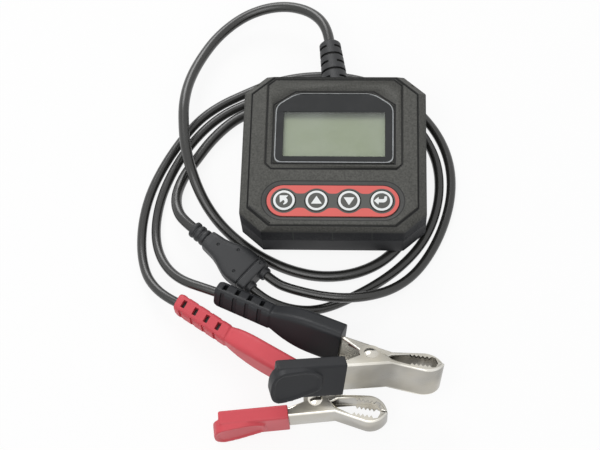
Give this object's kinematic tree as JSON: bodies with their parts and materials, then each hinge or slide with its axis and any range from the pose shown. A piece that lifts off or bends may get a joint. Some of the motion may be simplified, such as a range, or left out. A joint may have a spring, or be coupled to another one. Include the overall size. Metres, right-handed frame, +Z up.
{
  "type": "battery tester",
  "caption": "Hand-held battery tester with display and key row, corded through a splitter to a red and a black spring clamp.",
  "frame": {"origin": "bottom centre of the casing and clamps as they lie, on the table", "axes": "+Z up out of the display, +Y along the casing from the keys to the cord gland, +X across the display"},
  "size_m": [0.1763, 0.2625, 0.0532],
  "materials": {
    "casing": "grained matte",
    "casing_rear": "satin",
    "lens": "gloss",
    "lcd": "satin",
    "carrier": "satin",
    "board": "satin",
    "switches": "satin",
    "components": "matte",
    "terminal": "satin",
    "wires": "satin",
    "screws": "zinc plated",
    "overlay": "satin",
    "relief": "satin",
    "splitter": "satin",
    "main_cord": "satin",
    "lead": "satin",
    "jaw": "satin nickel",
    "rivet": "bright",
    "spring": "drawn wire",
    "red_boot": "satin",
    "black_boot": "satin",
    "key_back": "satin",
    "key_up": "satin",
    "key_down": "satin",
    "key_enter": "satin"
  },
  "bodies": {
    "tester": {"rear_cover": "casing_rear", "front_cover": "casing", "display_lens": "lens", "lcd_panel": "lcd", "lcd_frame": "carrier", "circuit_board": "board", "tact_switches": "switches", "board_components": "components", "terminal_block": "terminal", "supply_wires": "wires", "cover_screws": "screws", "board_screws": "screws", "keypad_overlay": "overlay", "strain_relief": "relief", "cable_splitter": "splitter", "main_cord": "main_cord", "red_lead": "lead", "black_lead": "lead", "red_cord_jaw": "jaw", "red_pivot_rivet": "rivet", "red_spring": "spring", "red_cord_boot": "red_boot", "black_cord_jaw": "jaw", "black_pivot_rivet": "rivet", "black_spring": "spring", "black_cord_boot": "black_boot"},
    "key_back": {"key_back": "key_back"},
    "key_up": {"key_up": "key_up"},
    "key_down": {"key_down": "key_down"},
    "key_enter": {"key_enter": "key_enter"},
    "red_thumb_half": {"red_thumb_jaw": "jaw", "red_thumb_boot": "red_boot"},
    "black_thumb_half": {"black_thumb_jaw": "jaw", "black_thumb_boot": "black_boot"}
  },
  "joints": [
    {"name": "key_back_press", "type": "slide", "parent": "tester", "child": "key_back", "axis": [0, 0, -1], "range_m": [0, 0.0006], "stiffness_N_per_m": 800, "springref_m": -0.0003},
    {"name": "key_up_press", "type": "slide", "parent": "tester", "child": "key_up", "axis": [0, 0, -1], "range_m": [0, 0.0006], "stiffness_N_per_m": 800, "springref_m": -0.0003},
    {"name": "key_down_press", "type": "slide", "parent": "tester", "child": "key_down", "axis": [0, 0, -1], "range_m": [0, 0.0006], "stiffness_N_per_m": 800, "springref_m": -0.0003},
    {"name": "key_enter_press", "type": "slide", "parent": "tester", "child": "key_enter", "axis": [0, 0, -1], "range_m": [0, 0.0006], "stiffness_N_per_m": 800, "springref_m": -0.0003},
    {"name": "red_clamp_squeeze", "type": "hinge", "parent": "tester", "child": "red_thumb_half", "pos_m": [0.0059, -0.0808, 0.0105], "axis": [0, 0, -1], "range_deg": [0, 24], "stiffness_Nm_per_rad": 0.3, "springref_deg": -20.05, "deforming": ["red_spring"]},
    {"name": "black_clamp_squeeze", "type": "hinge", "parent": "tester", "child": "black_thumb_half", "pos_m": [0.0332, -0.0658, 0.0283], "axis": [-0.1291, -0.4748, -0.8706], "range_deg": [0, 24], "stiffness_Nm_per_rad": 0.3, "springref_deg": -20.05, "deforming": ["black_spring"]}
  ]
}
